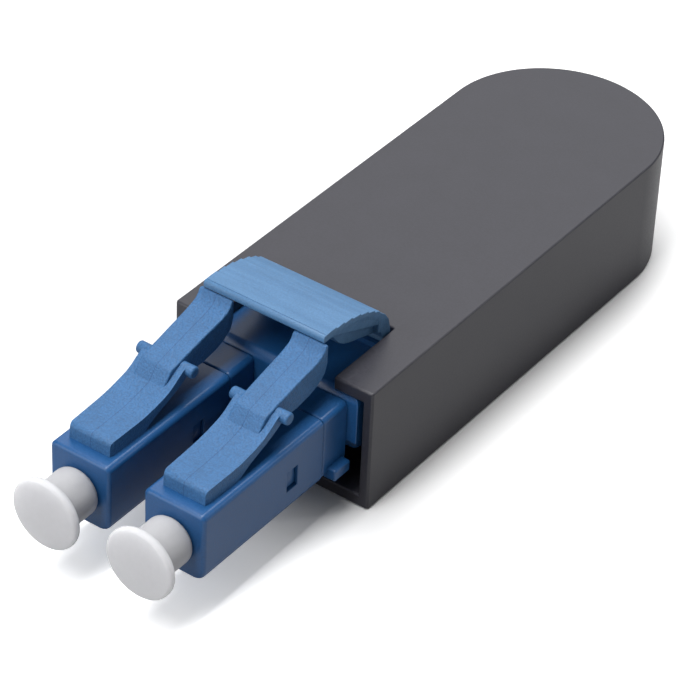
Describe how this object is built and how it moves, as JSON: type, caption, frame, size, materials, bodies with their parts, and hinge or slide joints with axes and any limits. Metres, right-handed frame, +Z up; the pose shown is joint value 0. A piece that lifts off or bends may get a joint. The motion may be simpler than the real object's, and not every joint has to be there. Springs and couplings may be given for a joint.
{
  "type": "fiber loopback module",
  "caption": "Fibre optic loopback module: slim case with a rounded end, duplex latched plugs under a shared press plate, and push-on dust caps.",
  "frame": {"origin": "middle of the case's flat underside, halfway along the case without the plugs", "axes": "X across the plugs, +Y from the plugs to the case's rounded end, +Z up out of the case's flat top"},
  "size_m": [0.0132, 0.0495, 0.0111],
  "materials": {
    "case_black": "fine matt moulding",
    "clip_blue": "fine matt moulding",
    "trigger_blue": "fine matt moulding",
    "housing_blue": "satin moulding",
    "lever_blue": "spark-eroded matt moulding",
    "cap_white": "matt, slightly translucent",
    "ferrule_ceramic": "polished",
    "holder_metal": "turned",
    "spring_steel": "drawn wire",
    "sleeve_metal": "turned",
    "fiber_buffer": "smooth extruded jacket"
  },
  "bodies": {
    "module": {"case": "case_black", "duplex_clip": "clip_blue", "plug_housing_left": "housing_blue", "plug_housing_right": "housing_blue", "rear_body_left": "housing_blue", "rear_body_right": "housing_blue", "crimp_sleeve_left": "sleeve_metal", "crimp_sleeve_right": "sleeve_metal", "spring_left": "spring_steel", "spring_right": "spring_steel", "fiber_loop": "fiber_buffer"},
    "press_plate": {"trigger": "trigger_blue"},
    "latch_left": {"latch_lever_left": "lever_blue"},
    "latch_right": {"latch_lever_right": "lever_blue"},
    "ferrule_unit_left": {"ferrule_left": "ferrule_ceramic", "ferrule_holder_left": "holder_metal"},
    "ferrule_unit_right": {"ferrule_right": "ferrule_ceramic", "ferrule_holder_right": "holder_metal"},
    "cap_left": {"dust_cap_left": "cap_white"},
    "cap_right": {"dust_cap_right": "cap_white"}
  },
  "joints": [
    {"name": "trigger_press", "type": "hinge", "parent": "module", "child": "press_plate", "pos_m": [0, -0.01208, 0.00755], "axis": [1, 0, 0], "range_deg": [0, 10], "stiffness_Nm_per_rad": 0.06},
    {"name": "latch_left_flex", "type": "hinge", "parent": "module", "child": "latch_left", "pos_m": [-0.00313, -0.0261, 0.00726], "axis": [-1, 0, 0], "range_deg": [0, 7], "stiffness_Nm_per_rad": 0.000001, "springref_deg": -67.61},
    {"name": "ferrule_left_float", "type": "slide", "parent": "module", "child": "ferrule_unit_left", "axis": [0, 1, 0], "range_m": [0, 0.0009], "stiffness_N_per_m": 2500, "deforming": ["spring_left"]},
    {"name": "cap_left_pull", "type": "slide", "parent": "module", "child": "cap_left", "axis": [0, -1, 0], "range_m": [0, 0.01]},
    {"name": "latch_right_flex", "type": "hinge", "parent": "module", "child": "latch_right", "pos_m": [0.00313, -0.0261, 0.00726], "axis": [-1, 0, 0], "range_deg": [0, 7], "stiffness_Nm_per_rad": 0.000001, "springref_deg": -67.61},
    {"name": "ferrule_right_float", "type": "slide", "parent": "module", "child": "ferrule_unit_right", "axis": [0, 1, 0], "range_m": [0, 0.0009], "stiffness_N_per_m": 2500, "deforming": ["spring_right"]},
    {"name": "cap_right_pull", "type": "slide", "parent": "module", "child": "cap_right", "axis": [0, -1, 0], "range_m": [0, 0.01]}
  ],
  "couplings": [
    {"joint": "latch_left_flex", "follows": "trigger_press", "ratio": 0.69},
    {"joint": "latch_right_flex", "follows": "trigger_press", "ratio": 0.69}
  ]
}
